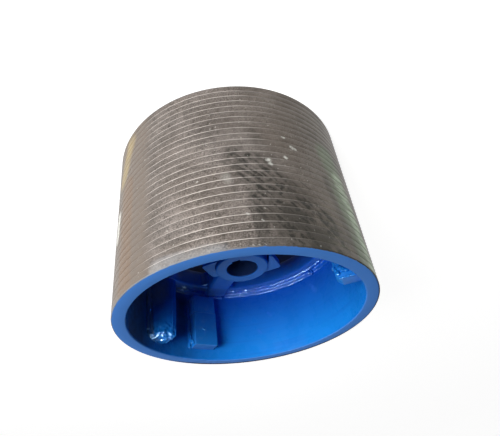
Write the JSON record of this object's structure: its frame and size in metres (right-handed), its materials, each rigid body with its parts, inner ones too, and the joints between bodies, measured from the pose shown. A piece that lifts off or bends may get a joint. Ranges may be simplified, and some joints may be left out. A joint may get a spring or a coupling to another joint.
{
  "type": "conveyor pulley drum",
  "caption": "Welded conveyor pulley drum: a thick turned shell on a keyed hub with arms, a centre ring and balance bars inside one end.",
  "frame": {"origin": "centre of the drum: on the axis of the bore, halfway along the belt face", "axes": "+Z along the axis towards the end with the balance bars, which is up as the drum stands; -Y towards the side it is seen from, +X to the right of someone looking along +Y"},
  "size_m": [0.3999, 0.4, 0.3],
  "materials": {
    "turned_steel": "turned steel, satin, handled and scuffed; blue gloss paint on its ends and inside",
    "blue_paint": "gloss enamel",
    "painted_weld": "gloss enamel over rough weld"
  },
  "bodies": {
    "root": {"drum_shell": "turned_steel", "ring_segment_1": "blue_paint", "ring_segment_2": "blue_paint", "ring_segment_3": "blue_paint", "ring_weld_top": "painted_weld", "ring_weld_bottom": "painted_weld", "hub_barrel": "blue_paint", "lug_1_top": "blue_paint", "lug_2_top": "blue_paint", "lug_1_bottom": "blue_paint", "lug_2_bottom": "blue_paint", "lug_welds_top": "painted_weld", "lug_welds_bottom": "painted_weld", "arm_1": "blue_paint", "arm_2": "blue_paint", "arm_3": "blue_paint", "arm_1_hub_weld": "painted_weld", "arm_2_hub_weld": "painted_weld", "arm_3_hub_weld": "painted_weld", "arm_1_ring_weld": "painted_weld", "arm_2_ring_weld": "painted_weld", "arm_3_ring_weld": "painted_weld", "round_balance_bar": "blue_paint", "flat_balance_bar": "blue_paint", "narrow_balance_bar": "blue_paint", "round_bar_weld": "painted_weld", "flat_bar_weld": "painted_weld", "narrow_bar_weld": "painted_weld"}
  },
  "joints": []
}
